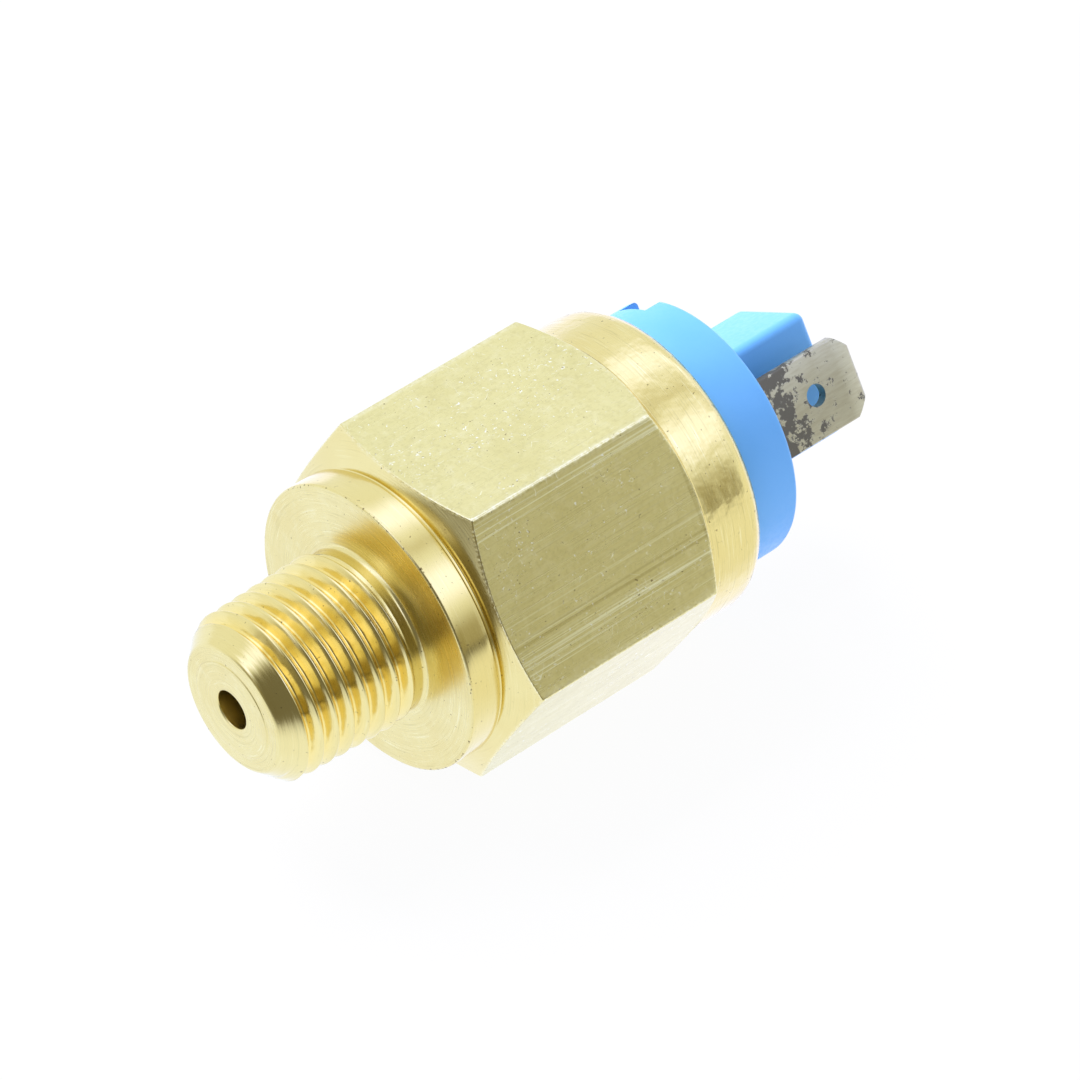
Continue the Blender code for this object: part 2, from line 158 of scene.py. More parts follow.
# Main spring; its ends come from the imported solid
SPRING_LOW, SPRING_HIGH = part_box("main_spring")
SPRING_RADIUS = 2.45 * MM
SPRING_WIRE = 0.9 * MM
SPRING_TURNS = 10

# Camera of the photograph
VIEW_AZIMUTH = math.radians(-40.616)
VIEW_ELEVATION = math.radians(41.521)
VIEW_ROLL = math.radians(-1.536)
VIEW_PLACE = Vector((-0.21603, -0.27058, 0.31414))
VIEW_LENS = 224.75
SENSOR_WIDTH = 36.0

# Brass colours; a pair is the two ends of slow clouds
TURNED_BRASS = ((0.82, 0.69, 0.285), (0.79, 0.65, 0.25))
FLAT_BRASS = ((0.79, 0.70, 0.30), (0.75, 0.66, 0.27))
# Painted reflection: the thread's valleys get this brighter gold for the light that bounces between their
# flanks
VALLEY_REFLECTION_GOLD = (0.91, 0.71, 0.225)
MOTTLE_OLIVE = (0.58, 0.50, 0.20)
BLOOM_PALE = (0.92, 0.84, 0.46)
LINE_DARK = (0.52, 0.44, 0.17)
LINE_BRIGHT = (0.97, 0.92, 0.58)
SCORE_DARK = (0.52, 0.43, 0.14)
SCORE_BRIGHT = (1.0, 0.96, 0.60)
HAIR_BRIGHT = (1.0, 0.96, 0.66)
PIT_DARK = (0.36, 0.28, 0.11)
# painted highlight on one side of each nick's lip, set off from the pit by LIP_OFFSET
LIP_HIGHLIGHT = (1.0, 0.97, 0.74)
LIP_OFFSET = (0.0, 0.05 * MM, -0.05 * MM)
FLECK_BRIGHT = (1.0, 0.98, 0.80)
SPECK_DARK = (0.26, 0.19, 0.07)
EDGE_BRIGHT = (1.0, 0.95, 0.66)

# Other colours
BLUE = ((0.15, 0.47, 0.86), (0.125, 0.43, 0.81))
TIN = ((0.56, 0.53, 0.38), (0.49, 0.45, 0.31))
TARNISH = (0.18, 0.165, 0.125)
TARNISH_REACH = (38.0 * MM, 32.5 * MM)  # where it starts to thicken along X, and where it is thickest

# Studio as the metal mirrors it, with angles in degrees round the axis, from straight up towards the back
STUDIO_WALL = (1.0, 1.07, 1.22)
SOFT_BOX_LIGHT = (1.42, 1.58, 2.6)
SOFT_BOXES = ((21.0, 12.0), (-41.0, 13.0))  # centre and half width
CEILING_GAP = (-9.0, 2.0)
CEILING_SHADE = (0.58, 0.54, 0.38)
SOFT_EDGE = 9.0
CAMERA_SIDE = (-0.65, -0.76, 0.0)
ROOM_WALL = (0.36, 0.33, 0.195)
ROOM_SIDE = (0.0, 0.45)
ROOM_HEIGHT = (0.48, 0.18)
ROOM_DARK = (0.19, 0.18, 0.14)
DARK_CENTRE = (-0.70, -0.60, 0.388)
DARK_SPREAD = (0.72, 0.90)

# Light on the matt pieces
MATT_LIGHT_LOW = (1.1, 1.1, 1.35)
MATT_LIGHT_FRONT = (0.45, 0.62, 0.98)
MATT_LIGHT_HIGH = (0.62, 0.64, 0.80)
MATT_SPREAD = (0.0, 0.8)
LAMP_SIZE = 0.45
LAMP_ENERGY = 5.4
LAMP_COLOUR = (1.0, 0.92, 0.95)
LAMP_PLACE = Vector((0.03, 0.40, 0.44))

# Floor
FLOOR_HALF = 1.5
FLOOR_WHITE = (1.0, 1.0, 1.0)
FLOOR_SEEN_GLOW = 0.95  # the rest of what the camera sees is lit, and takes the shadow
FLOOR_MATT_GLOW = 0.35
PAPER_FRONT = (1.04, 1.08, 1.14)
PAPER_BEHIND = (1.09, 1.2, 1.58)
PAPER_BENEATH = (1.2, 1.27, 1.7)
BACK_SIDE = (-0.7, 0.7, 0.0)
BEHIND_REACH = (-30.0 * MM, 10.0 * MM)
BENEATH_REACH_X = (-6.0 * MM, 26.0 * MM)
BENEATH_REACH_Y = (-19.0 * MM, -12.0 * MM)
OUTWARD_REACH = (25.0 * MM, 85.0 * MM)


# Surfaces

def mesh_piece(name, points, faces):
    """An object whose mesh has these points and faces, smoothly shaded, at the origin."""
    mesh = bpy.data.meshes.new(name)
    mesh.from_pydata(points.reshape(-1, 3).tolist(), [], faces)
    mesh.validate()
    mesh.shade_smooth()
    piece = bpy.data.objects.new(name, mesh)
    bpy.context.scene.collection.objects.link(piece)
    return piece


def grid_quads(rows, columns, rows_closed):
    """Faces between neighbouring grid points; the columns always close on themselves, the rows if asked."""
    row = np.arange(rows if rows_closed else rows - 1)[:, None]
    column = np.arange(columns)[None]
    here = row * columns
    after = (row + 1) % rows * columns
    beside = (column + 1) % columns
    corners = [here + column, here + beside, after + beside, after + column]
    return np.stack(np.broadcast_arrays(*corners), axis=-1).reshape(-1, 4).tolist()


def closed_grid_piece(name, points):
    """A ring-like closed surface from points of shape (rows, columns, 3)."""
    rows, columns = points.shape[:2]
    return mesh_piece(name, points, grid_quads(rows, columns, True))


def capped_grid_piece(name, points):
    """A closed surface from points of shape (rows, columns, 3) whose first and last rows are filled flat."""
    rows, columns = points.shape[:2]
    first = list(range(columns))[::-1]
    last = list(range((rows - 1) * columns, rows * columns))
    return mesh_piece(name, points, [*grid_quads(rows, columns, False), first, last])


def rounded_profile(corners, arc_points=4):
    """A closed outline with rounded corners.

    Each corner is (x, r, rounding, step). The arc starts and ends at rounding over the tangent of half the
    corner's angle, and its centre is on the bisector at rounding over the sine of that half angle. Straight
    runs after a corner are divided into equal parts no longer than its step. Returns x, r and the number of
    the corner that each point belongs to.
    """
    places = np.array([c[:2] for c in corners])
    to_last = np.roll(places, 1, axis=0) - places
    to_next = np.roll(places, -1, axis=0) - places
    to_last /= np.linalg.norm(to_last, axis=1)[:, None]
    to_next /= np.linalg.norm(to_next, axis=1)[:, None]
    half = np.arccos(np.clip((to_last * to_next).sum(1), -1.0, 1.0)) / 2
    rounding = np.array([c[2] for c in corners])
    trim = rounding / np.tan(half)
    bisector = to_last + to_next
    bisector /= np.maximum(np.linalg.norm(bisector, axis=1), 1e-12)[:, None]
    centres = places + bisector * (rounding / np.sin(half))[:, None]
    starts = places + to_last * trim[:, None]
    ends = places + to_next * trim[:, None]
    share = np.linspace(0.0, 1.0, arc_points)[:, None]
    pieces = []
    owners = []
    for k, corner in enumerate(corners):
        if corner[2]:
            spoke = (1 - share) * (starts[k] - centres[k]) + share * (ends[k] - centres[k])
            spoke *= corner[2] / np.linalg.norm(spoke, axis=1)[:, None]
            bend = centres[k] + spoke
        else:
            bend = places[k : k + 1]
        run_end = starts[(k + 1) % len(corners)]
        parts = max(1, math.ceil(np.linalg.norm(run_end - bend[-1]) / corner[3]))
        run = bend[-1] + (run_end - bend[-1]) * (np.arange(1, parts)[:, None] / parts)
        pieces.append(np.concatenate([bend, run]))
        owners.append(np.full(len(pieces[-1]), k))
    outline = np.concatenate(pieces)
    return outline[:, 0], outline[:, 1], np.concatenate(owners)


def smooth_min(a, b, reach):
    """The lesser of a and b, blended by a parabola where they differ by less than reach."""
    blend = np.maximum(1.0 - np.abs(a - b) / reach, 0.0)
    return np.minimum(a, b) - blend**2 * reach / 4


def around(x, radius, angle):
    """Points at a distance from the X axis, with the angle counted from +Y towards +Z."""
    x, radius, angle = np.broadcast_arrays(x, radius, angle)
    return np.stack([x, radius * np.cos(angle), radius * np.sin(angle)], axis=-1)


def bell(distance):
    """A bell curve that is one at no distance."""
    return np.exp(-(distance**2))


def corner_turns(steps):
    """Directions round a rounded rectangle, a quarter turn at each corner, with the signs of each corner."""
    quarter = np.repeat(np.arange(4), steps) * math.pi / 2
    direction = np.tile(np.linspace(0.0, math.pi / 2, steps), 4) + quarter
    middle = quarter + math.pi / 4
    return direction, np.sign(np.cos(middle)), np.sign(np.sin(middle))


def hexagon_angles():
    """Angles round the axis, packed closely near the six corners by a power of the distance to them."""
    steps = 20
    packing = 1.5
    half = 0.5 * (np.linspace(0.0, 1.0, steps, endpoint=False) ** packing)
    sector = np.concatenate([half, [0.5], 1.0 - half[:0:-1]])
    return (np.arange(6)[:, None] + sector[None]).ravel() * math.pi / 3


def hexagon_reach(angle):
    """Distance from the axis to the hexagon: half the flats over a high power mean of the cosines to them."""
    power = 400
    flats = (np.arange(6) + 0.5) * math.pi / 3
    cosines = np.maximum(np.cos(angle[..., None] - flats), 0.0)
    return HALF_FLATS / (cosines**power).sum(-1) ** (1 / power)


def crest_radius(x):
    """Radius of the taper thread's crests, which widens evenly along the port."""
    return GAUGE_RADIUS + (x - GAUGE_PLACE) * THREAD_TAPER


def thread_radius(x, angle):
    """Radius of the right-hand taper thread, which climbs one pitch a turn.

    Over a pitch the height is a trapezium with a narrow flat crest and root and blended corners.
    """
    root_blend = 0.2
    crest_blend = 0.06
    turn = (x - THREAD_PHASE) / THREAD_PITCH - angle / math.tau
    from_root = 1.0 - np.abs(2.0 * (turn - np.floor(turn)) - 1.0)
    climb = (from_root * THREAD_PITCH - ROOT_WIDTH) / (THREAD_PITCH - ROOT_WIDTH - CREST_WIDTH)
    height = smooth_min(-smooth_min(-climb, 0.0, root_blend), 1.0, crest_blend)
    return crest_radius(x) - THREAD_DEPTH * (1.0 - height)


def body_corners():
    """Corners of the body's half section, from the orifice over the outside and back through the bores.

    Each is (x, r, rounding, step, zone), for rounded_profile and for the zones that make_body shapes further.
    """
    chamfer_end = PORT_TIP + TIP_CHAMFER
    land_radius = TIP_RADIUS - TIP_LAND
    beyond_hex = HALF_FLATS / math.cos(math.pi / 6) + GAP
    lip_radius = SKIRT_RADIUS - CRIMP_ROLL
    crimp_bore = SKIRT_RADIUS - SKIRT_WALL
    roll_rounding = CRIMP_ROLL * 0.97  # a little less than the whole roll, so that the lip has an end
    crisp = 0.1 * MM
    broken = 0.2 * MM
    coarse = 2.0 * MM
    medium = 0.5 * MM
    thread_step = 0.05 * MM
    chamfer_step = 0.09 * MM
    outside = [
        (PORT_TIP, ORIFICE_RADIUS, 0.12 * MM, medium, "tip"),
        (PORT_TIP, land_radius, crisp, medium, "tip"),
        (PORT_TIP + TIP_STEP, land_radius + TIP_STEP, crisp, medium, "tip"),
        (PORT_TIP + TIP_STEP, TIP_RADIUS, 0.5 * MM, 0.08 * MM, "rim"),
        (chamfer_end, crest_radius(chamfer_end), 0.0, thread_step, "thread"),
        (THREAD_END - THREAD_RUNOUT, crest_radius(THREAD_END), crisp, 0.06 * MM, "thread"),
        (THREAD_END, NECK_RADIUS, broken, 0.3 * MM, "neck"),
        (0.0, NECK_RADIUS, NECK_FILLET, medium, "collar"),
        (0.0, COLLAR_RADIUS, broken, medium, "collar"),
        (COLLAR_LENGTH, COLLAR_RADIUS, broken, medium, "collar"),
        (COLLAR_LENGTH, GROOVE_RADIUS, 0.06 * MM, medium, "collar"),
        (HEX_START, GROOVE_RADIUS, crisp, chamfer_step, "hexagon"),
        (HEX_START + HEX_FRONT_CHAMFER, beyond_hex, 0.0, 1.0 * MM, "hexagon"),
        (HEX_END - HEX_BACK_CHAMFER, beyond_hex, 0.0, chamfer_step, "hexagon"),
        (HEX_END, SKIRT_RADIUS, 0.15 * MM, 0.6 * MM, "skirt"),
        (CRIMP_END, SKIRT_RADIUS, roll_rounding, 0.3 * MM, "skirt"),
    ]
    inside = [
        (CRIMP_END, lip_radius, 0.0, medium, "bore"),
        (CRIMP_END - SKIRT_WALL, lip_radius, 0.0, medium, "bore"),
        (CRIMP_END - CRIMP_ROLL, crimp_bore, 0.0, coarse, "bore"),
        (CAP_SEAT, crimp_bore, 0.0, coarse, "bore"),
        (CAP_SEAT, CHAMBER_RADIUS, 0.0, 2 * coarse, "bore"),
        (CHAMBER_START, CHAMBER_RADIUS, 0.0, coarse, "bore"),
        (CHAMBER_START, DISH_RADIUS, 0.0, coarse, "bore"),
        (DISH_START, DISH_RADIUS, 0.0, coarse, "bore"),
        (DISH_START, ORIFICE_RADIUS, 0.0, 2 * coarse, "bore"),
    ]
    return outside + inside


def hexagon_marks(section, reach, angle, in_hex):
    """How far each point of the hexagon is flat, on the front flat and on a worn edge, by name.

    A point is on a flat where the section stands out past the hexagon. Wear is a bell curve of the way round
    to a corner, and of how far the section is from the hexagon at a chamfer. The front flat fades with the
    sixth power of the cosine to it.
    """
    past = (section - reach) / FLAT_MARGIN
    on_flat = np.clip(past, 0.0, 1.0) * in_hex
    corner_gap = np.abs((angle + math.pi / 6) % (math.pi / 3) - math.pi / 6) * HALF_FLATS
    facing_front = np.maximum(np.cos(angle - FRONT_FLAT), 0.0) ** 6
    return {
        "flat": on_flat,
        "scored": on_flat * facing_front,
        "edge": np.maximum(bell(corner_gap / EDGE_WEAR) * on_flat, bell(past) * in_hex),
    }


def turned_marks(x, section, shaped, in_thread):
    """How far each point is on the port's side, a faced end, a thread valley, the skirt and a rim, by name.

    A faced end and the collar's rim are bell curves of the distance to them, and a valley is the depth that
    the thread takes off the section, over the thread's full depth.
    """
    on_port = np.clip((section - TIP_RADIUS + FACE_MARGIN) / PORT_FADE, 0.0, 1.0) * (x < PORT_MARK_END)
    from_face = np.minimum(np.abs(x), np.abs(x - PORT_TIP))
    outside = section > SKIRT_RADIUS - CRIMP_ROLL
    on_skirt = np.clip((x - HEX_END) / SKIRT_FADE + 1.0, 0.0, 1.0) * outside
    on_roll = np.clip((x - CRIMP_END) / CRIMP_ROLL + 1.0, 0.0, 1.0) * on_skirt
    from_rim = np.hypot(x, section - COLLAR_RADIUS)
    return {
        "port": on_port,
        "faced": bell(from_face / FACE_MARGIN),
        "valley": np.clip((section - shaped) / THREAD_DEPTH, 0.0, 1.0) * in_thread,
        "skirt": on_skirt,
        "rim": np.maximum(bell(from_rim / FACE_MARGIN), 0.5 * on_roll),
    }


def make_body():
    """The brass body: its half section spun round the axis.

    Along the hexagon the radius is the lesser of the section's and the hexagon's, which gives the curved
    chamfer lines, and along the port it is the lesser of the section's and the thread's.
    """
    corners = body_corners()
    x, radius, owner = rounded_profile(corners, arc_points=5)
    zone = np.array([corner[4] for corner in corners])[owner][:, None]
    angle = hexagon_angles()[None]
    along = np.concatenate([[0.0], np.cumsum(np.hypot(np.diff(x), np.diff(radius)))])
    x = x[:, None]
    section = np.broadcast_to(radius[:, None], (len(radius), angle.shape[1]))
    reach = hexagon_reach(angle)
    thread_start = TIP_RADIUS + 0.3 * MM
    in_hex = zone == "hexagon"
    in_thread = (zone == "thread") | ((zone == "rim") & (section > thread_start))
    flats = smooth_min(section, np.maximum(reach, SKIRT_RADIUS), HEX_EDGE_BLEND)
    shaped = np.where(in_hex, flats, section)
    shaped = np.where(in_thread, np.minimum(shaped, thread_radius(x, angle)), shaped)
    piece = closed_grid_piece("brass_body", around(x, shaped, angle))
    marks = {"along": along[:, None] / MM}
    marks |= hexagon_marks(section, reach, angle, in_hex) | turned_marks(x, section, shaped, in_thread)
    for name, values in marks.items():
        add_attribute(piece, name, np.broadcast_to(values, section.shape))
    return piece


def add_attribute(piece, name, values):
    """Store one number a point, for the piece's material to read."""
    attribute = piece.data.attributes.new(name, "FLOAT", "POINT")
    attribute.data.foreach_set("value", np.ascontiguousarray(values, np.float32).ravel())


def turned_points(corners, columns, arc_points=6):
    """A half section with rounded corners spun round the axis in equal steps."""
    x, radius, _ = rounded_profile(corners, arc_points)
    angle = np.arange(columns)[None] * math.tau / columns
    return around(x[:, None], radius[:, None], angle)


def rounded_bar(half_y, half_z, start, end, rounding, end_rounding):
    """A bar along X with a rounded-rectangle section that draws in at its far end.

    A section point is the corner centre plus the rounding along a full turn of directions. Near the end, x
    goes on by the end rounding times a sine while the section shrinks by it times one minus the cosine.
    """
    direction, sign_y, sign_z = corner_turns(9)
    swing = np.linspace(0.0, math.pi / 2, 7)
    x = np.concatenate([[start], end - end_rounding + end_rounding * np.sin(swing)])
    inset = np.concatenate([[0.0], end_rounding * (1.0 - np.cos(swing))])
    # The inset moves the whole outline inwards, so the corner radius shrinks no further than a small rest.
    rest = 0.05 * MM
    radius = np.maximum(rounding - inset, rest)[:, None]
    drawn_in = np.maximum(rounding, inset + rest)[:, None]
    y = sign_y * (half_y - drawn_in) + radius * np.cos(direction)
    z = sign_z * (half_z - drawn_in) + radius * np.sin(direction)
    return np.stack(np.broadcast_arrays(x[:, None], y, z), axis=-1)


def box_points(low, high):
    """A plain box as a four-cornered section at two places along X."""
    y = np.array([low[1], high[1], high[1], low[1]])
    z = np.array([low[2], low[2], high[2], high[2]])
    x = np.array([low[0], high[0]])[:, None]
    return np.stack(np.broadcast_arrays(x, y, z), axis=-1)


def combine(base, steps):
    """Join and cut a piece by helper solids, and keep only the finished mesh."""
    for operation, helper in steps:
        modifier = base.modifiers.new(helper.name, "BOOLEAN")
        modifier.operation = operation
        modifier.object = helper
    bpy.context.view_layer.update()
    evaluated = base.evaluated_get(bpy.context.evaluated_depsgraph_get())
    finished = bpy.data.meshes.new_from_object(evaluated)
    base.modifiers.clear()
    base.data = finished
    for _, helper in steps:
        bpy.data.objects.remove(helper)
    return base


def turn_to_cap(piece):
    """Turn a finished piece's mesh about the switch axis to the cap's angle."""
    piece.data.transform(Matrix.Rotation(CAP_TURN, 4, "X"))
    piece.data.shade_smooth()
    piece.data.set_sharp_from_angle(angle=SHARP_EDGE)
    return piece


def cap_corners():
    """Corners of the cap's half section, from the plug over the flange to the face and back by the bores.

    Each is (x, r, rounding, step), for rounded_profile.
    """
    plug_radius = CHAMBER_RADIUS - GAP
    plug_start = CAP_SEAT + GAP
    flange_radius = SKIRT_RADIUS - SKIRT_WALL - GAP
    shoulder = CRIMP_END - CRIMP_ROLL + flange_radius - (SKIRT_RADIUS - CRIMP_ROLL)
    coarse = 3.0 * MM
    return [
        (plug_start, SPRING_BORE_RADIUS, 0.0, coarse),
        (plug_start, plug_radius, 0.0, coarse),
        (CAP_FLANGE_START, plug_radius, 0.0, coarse),
        (CAP_FLANGE_START, flange_radius, 0.0, coarse),
        (shoulder, flange_radius, CAP_SHOULDER_ROUNDING, coarse),
        (shoulder, CAP_RADIUS, 0.0, coarse),
        (CAP_FACE, CAP_RADIUS, CAP_EDGE, coarse),
        (CAP_FACE, BUSH_BORE_RADIUS, 0.0, coarse),
        (SPRING_BORE_END, BUSH_BORE_RADIUS, 0.0, coarse),
        (SPRING_BORE_END, SPRING_BORE_RADIUS, 0.0, coarse),
    ]


def make_block():
    """The centre block: a rounded bar that starts a little inside the cap's disc."""
    half_height = (BLOCK_TOP - BLOCK_BOTTOM) / 2
    start = CAP_FACE - 1.0 * MM
    bar = rounded_bar(BLOCK_HALF_THICKNESS, half_height, start, CAP_END, BLOCK_EDGE, BLOCK_EDGE)
    bar[..., 2] += BLOCK_TOP - half_height
    return capped_grid_piece("block", bar)


def cap_cutters():
    """What is cut out of the cap: the bush's round bore, a slot for each tab, and the key notch."""
    turn = np.linspace(0.0, math.tau, 48, endpoint=False)[None]
    bore_ends = np.array([CAP_FACE - PAST, CAP_END + PAST])[:, None]
    cutters = [capped_grid_piece("bush_bore", around(bore_ends, BUSH_BORE_RADIUS, turn))]
    half_slot = TAB_WIDTH / 2 + GAP
    inner = TAB_OUTER_FACE - TAB_THICKNESS - GAP
    outer = TAB_OUTER_FACE + GAP
    for near, far in ((-outer, -inner), (inner, outer)):
        low = (CAP_SEAT + GAP - PAST, near, -half_slot)
        cutters.append(capped_grid_piece("tab_slot", box_points(low, (CAP_FACE + PAST, far, half_slot))))
    low = (NOTCH_FLOOR, NOTCH_NEAR, NOTCH_ROOT)
    high = (CAP_FACE + PAST, NOTCH_FAR, CAP_RADIUS + PAST)
    cutters.append(capped_grid_piece("key_notch", box_points(low, high)))
    return cutters


def make_cap():
    """The blue cap: a flanged disc spun from its half section, joined to the block and then cut."""
    disc = closed_grid_piece("blue_cap", turned_points(cap_corners(), CAP_COLUMNS))
    steps = [("UNION", make_block()), *(("DIFFERENCE", cutter) for cutter in cap_cutters())]
    return turn_to_cap(combine(disc, steps))


def strip_path():
    """Centre line of a bent strip: straight from the tip, then a tight quarter turn, then the foot.

    The straight's points are packed near the tip by a square. Returns the place along X, the offset from the
    axis and the direction of the strip's outer face.
    """
    straight_steps = 26
    turn_steps = 7
    foot_steps = 3
    middle = TAB_OUTER_FACE - TAB_THICKNESS / 2
    foot_x = TAB_LOW.x + TAB_THICKNESS / 2
    draw = np.linspace(0.0, 1.0, straight_steps) ** 2
    straight = TAB_HIGH.x + (foot_x + TAB_BEND - TAB_HIGH.x) * draw
    turn = np.linspace(0.0, math.pi / 2, turn_steps + 1)[1:]
    curve_x = foot_x + TAB_BEND - TAB_BEND * np.sin(turn)
    curve_y = middle - TAB_BEND + TAB_BEND * np.cos(turn)
    foot_y = np.linspace(curve_y[-1], TAB_FOOT_TOE, foot_steps + 1)[1:]
    x = np.concatenate([straight, curve_x, np.full(foot_steps, foot_x)])
    y = np.concatenate([np.full(straight_steps, middle), curve_y, foot_y])
    lean = np.concatenate([np.zeros(straight_steps), turn, np.full(foot_steps, math.pi / 2)])
    return x, y, lean


def make_tab(name, side):
    """A spade terminal: a rounded flat section carried along the strip's path, with a round hole.

    The half width at a distance from the tip is the full one, or the corner's start plus that distance where
    that is less. The thickness draws in over the first tenths of a millimetre of the tip.
    """
    x, y, lean = strip_path()
    from_tip = TAB_HIGH.x - x + (TAB_OUTER_FACE - TAB_THICKNESS / 2 - y)
    half_width = np.minimum(TAB_WIDTH / 2, TAB_WIDTH / 2 - TAB_CORNER + from_tip)[:, None]
    half_thick = (TAB_THICKNESS / 2 - TAB_TIP_THINNING * np.exp(-from_tip / TAB_TIP_REACH))[:, None]
    direction, sign_across, sign_through = corner_turns(4)
    across = sign_across * (half_width - TAB_EDGE) + TAB_EDGE * np.cos(direction)
    through = sign_through * (half_thick - TAB_EDGE) + TAB_EDGE * np.sin(direction)
    place_x = x[:, None] - np.sin(lean)[:, None] * through
    place_y = side * (y[:, None] + np.cos(lean)[:, None] * through)
    tab = capped_grid_piece(name, np.stack([place_x, place_y, side * across], axis=-1))
    angle = np.linspace(0.0, math.tau, 40, endpoint=False)
    ring_x = TAB_HOLE_X + TAB_HOLE_RADIUS * np.cos(angle)
    ring_z = -TAB_HOLE_RADIUS * np.sin(angle) * side
    depth = np.array([TAB_OUTER_FACE - 2 * TAB_THICKNESS, TAB_OUTER_FACE + TAB_THICKNESS])[:, None] * side
    hole = capped_grid_piece("tab_hole", np.stack(np.broadcast_arrays(ring_x, depth, ring_z), axis=-1))
    return turn_to_cap(combine(tab, [("DIFFERENCE", hole)]))


def make_spring_half(name, first_turn, last_turn):
    """Part of the main spring: a round section carried along a helix that climbs evenly between the seats.

    At an angle round the axis, a section point is the helix's point plus the wire's radius times a turn of
    directions between the outward spoke and the cross product of the helix's direction with it.
    """
    turn_steps = 32
    wire_steps = 12
    wire = SPRING_WIRE / 2
    climb = (SPRING_HIGH.x - SPRING_LOW.x - SPRING_WIRE) / SPRING_TURNS
    turn = np.linspace(first_turn, last_turn, (last_turn - first_turn) * turn_steps + 1)[:, None]
    angle = turn * math.tau
    spoke = around(0.0, 1.0, angle)
    course = around(climb / math.tau, SPRING_RADIUS, angle + math.pi / 2)
    course /= np.linalg.norm(course, axis=-1, keepdims=True)
    centre = around(SPRING_LOW.x + wire + climb * turn, SPRING_RADIUS, angle)
    swing = np.linspace(0.0, math.tau, wire_steps, endpoint=False)[None, :, None]
    points = centre + wire * (spoke * np.cos(swing) + np.cross(course, spoke) * np.sin(swing))
    return capped_grid_piece(name, points)


# Materials

class Nodes:
    """A node tree under construction; each method adds a node and returns its output."""

    MIX_COLOURS = (6, 7, 2)  # the Mix node's two colour inputs and its colour output

    def __init__(self, tree, coordinates):
        self.tree = tree
        self.place = tree.nodes.new("ShaderNodeTexCoord").outputs[coordinates]

    def link(self, value, socket):
        if isinstance(value, bpy.types.NodeSocket):
            self.tree.links.new(value, socket)
        else:
            socket.default_value = value

    def attribute(self, name):
        node = self.tree.nodes.new("ShaderNodeAttribute")
        node.attribute_name = name
        return node.outputs["Fac"]

    def maths(self, operation, a, b=0.0, third=0.0):
        node = self.tree.nodes.new("ShaderNodeMath")
        node.operation = operation
        for value, socket in zip((a, b, third), node.inputs):
            self.link(value, socket)
        return node.outputs[0]

    def times(self, a, b):
        return self.maths("MULTIPLY", a, b)

    def greater(self, a, b):
        return self.maths("MAXIMUM", a, b)

    def add_shares(self, total, *shares):
        """The total plus each value times its weight."""
        for value, weight in shares:
            total = self.maths("MULTIPLY_ADD", value, weight, third=total)
        return total

    def stretch(self, scale):
        """The place scaled along each axis, so that a pattern on it is drawn out where the scale is small."""
        node = self.tree.nodes.new("ShaderNodeMapping")
        node.inputs["Scale"].default_value = scale
        self.link(self.place, node.inputs["Vector"])
        return node.outputs["Vector"]

    def shift(self, offset):
        """The place moved by an offset."""
        node = self.tree.nodes.new("ShaderNodeVectorMath")
        self.link(self.place, node.inputs[0])
        node.inputs[1].default_value = offset
        return node.outputs["Vector"]

    def noise(self, scale, detail=4.0, roughness=0.5, vector=None):
        """Noise with so many cells to a unit of the vector, or to a metre of the place if none is given."""
        node = self.tree.nodes.new("ShaderNodeTexNoise")
        node.inputs["Scale"].default_value = scale
        node.inputs["Detail"].default_value = detail
        node.inputs["Roughness"].default_value = roughness
        self.link(self.place if vector is None else vector, node.inputs["Vector"])
        return node.outputs["Fac"]

    def rise(self, value, start, end, low=0.0, high=1.0):
        """A smooth step from low, where the value is at the start, to high, where it is at the end."""
        node = self.tree.nodes.new("ShaderNodeMapRange")
        node.interpolation_type = "SMOOTHSTEP"
        self.link(value, node.inputs["Value"])
        node.inputs["From Min"].default_value = start
        node.inputs["From Max"].default_value = end
        node.inputs["To Min"].default_value = low
        node.inputs["To Max"].default_value = high
        return node.outputs["Result"]

    def mix(self, share, a, b):
        """Colour a where the share is none, and b where it is all."""
        first, second, result = self.MIX_COLOURS
        node = self.tree.nodes.new("ShaderNodeMix")
        node.data_type = "RGBA"
        self.link(share, node.inputs["Factor"])
        for colour, socket in ((a, node.inputs[first]), (b, node.inputs[second])):
            self.link(colour if isinstance(colour, bpy.types.NodeSocket) else (*colour, 1.0), socket)
        return node.outputs[result]

    def blend(self, share, a, b):
        """The same as mix, for numbers."""
        node = self.tree.nodes.new("ShaderNodeMix")
        self.link(share, node.inputs["Factor"])
        self.link(a, node.inputs[2])
        self.link(b, node.inputs[3])
        return node.outputs[0]

    def parts(self):
        node = self.tree.nodes.new("ShaderNodeSeparateXYZ")
        self.link(self.place, node.inputs[0])
        return node.outputs[:]

    def towards(self, direction):
        """How far the place is along a direction."""
        node = self.tree.nodes.new("ShaderNodeVectorMath")
        node.operation = "DOT_PRODUCT"
        self.link(self.place, node.inputs[0])
        node.inputs[1].default_value = direction
        return node.outputs["Value"]


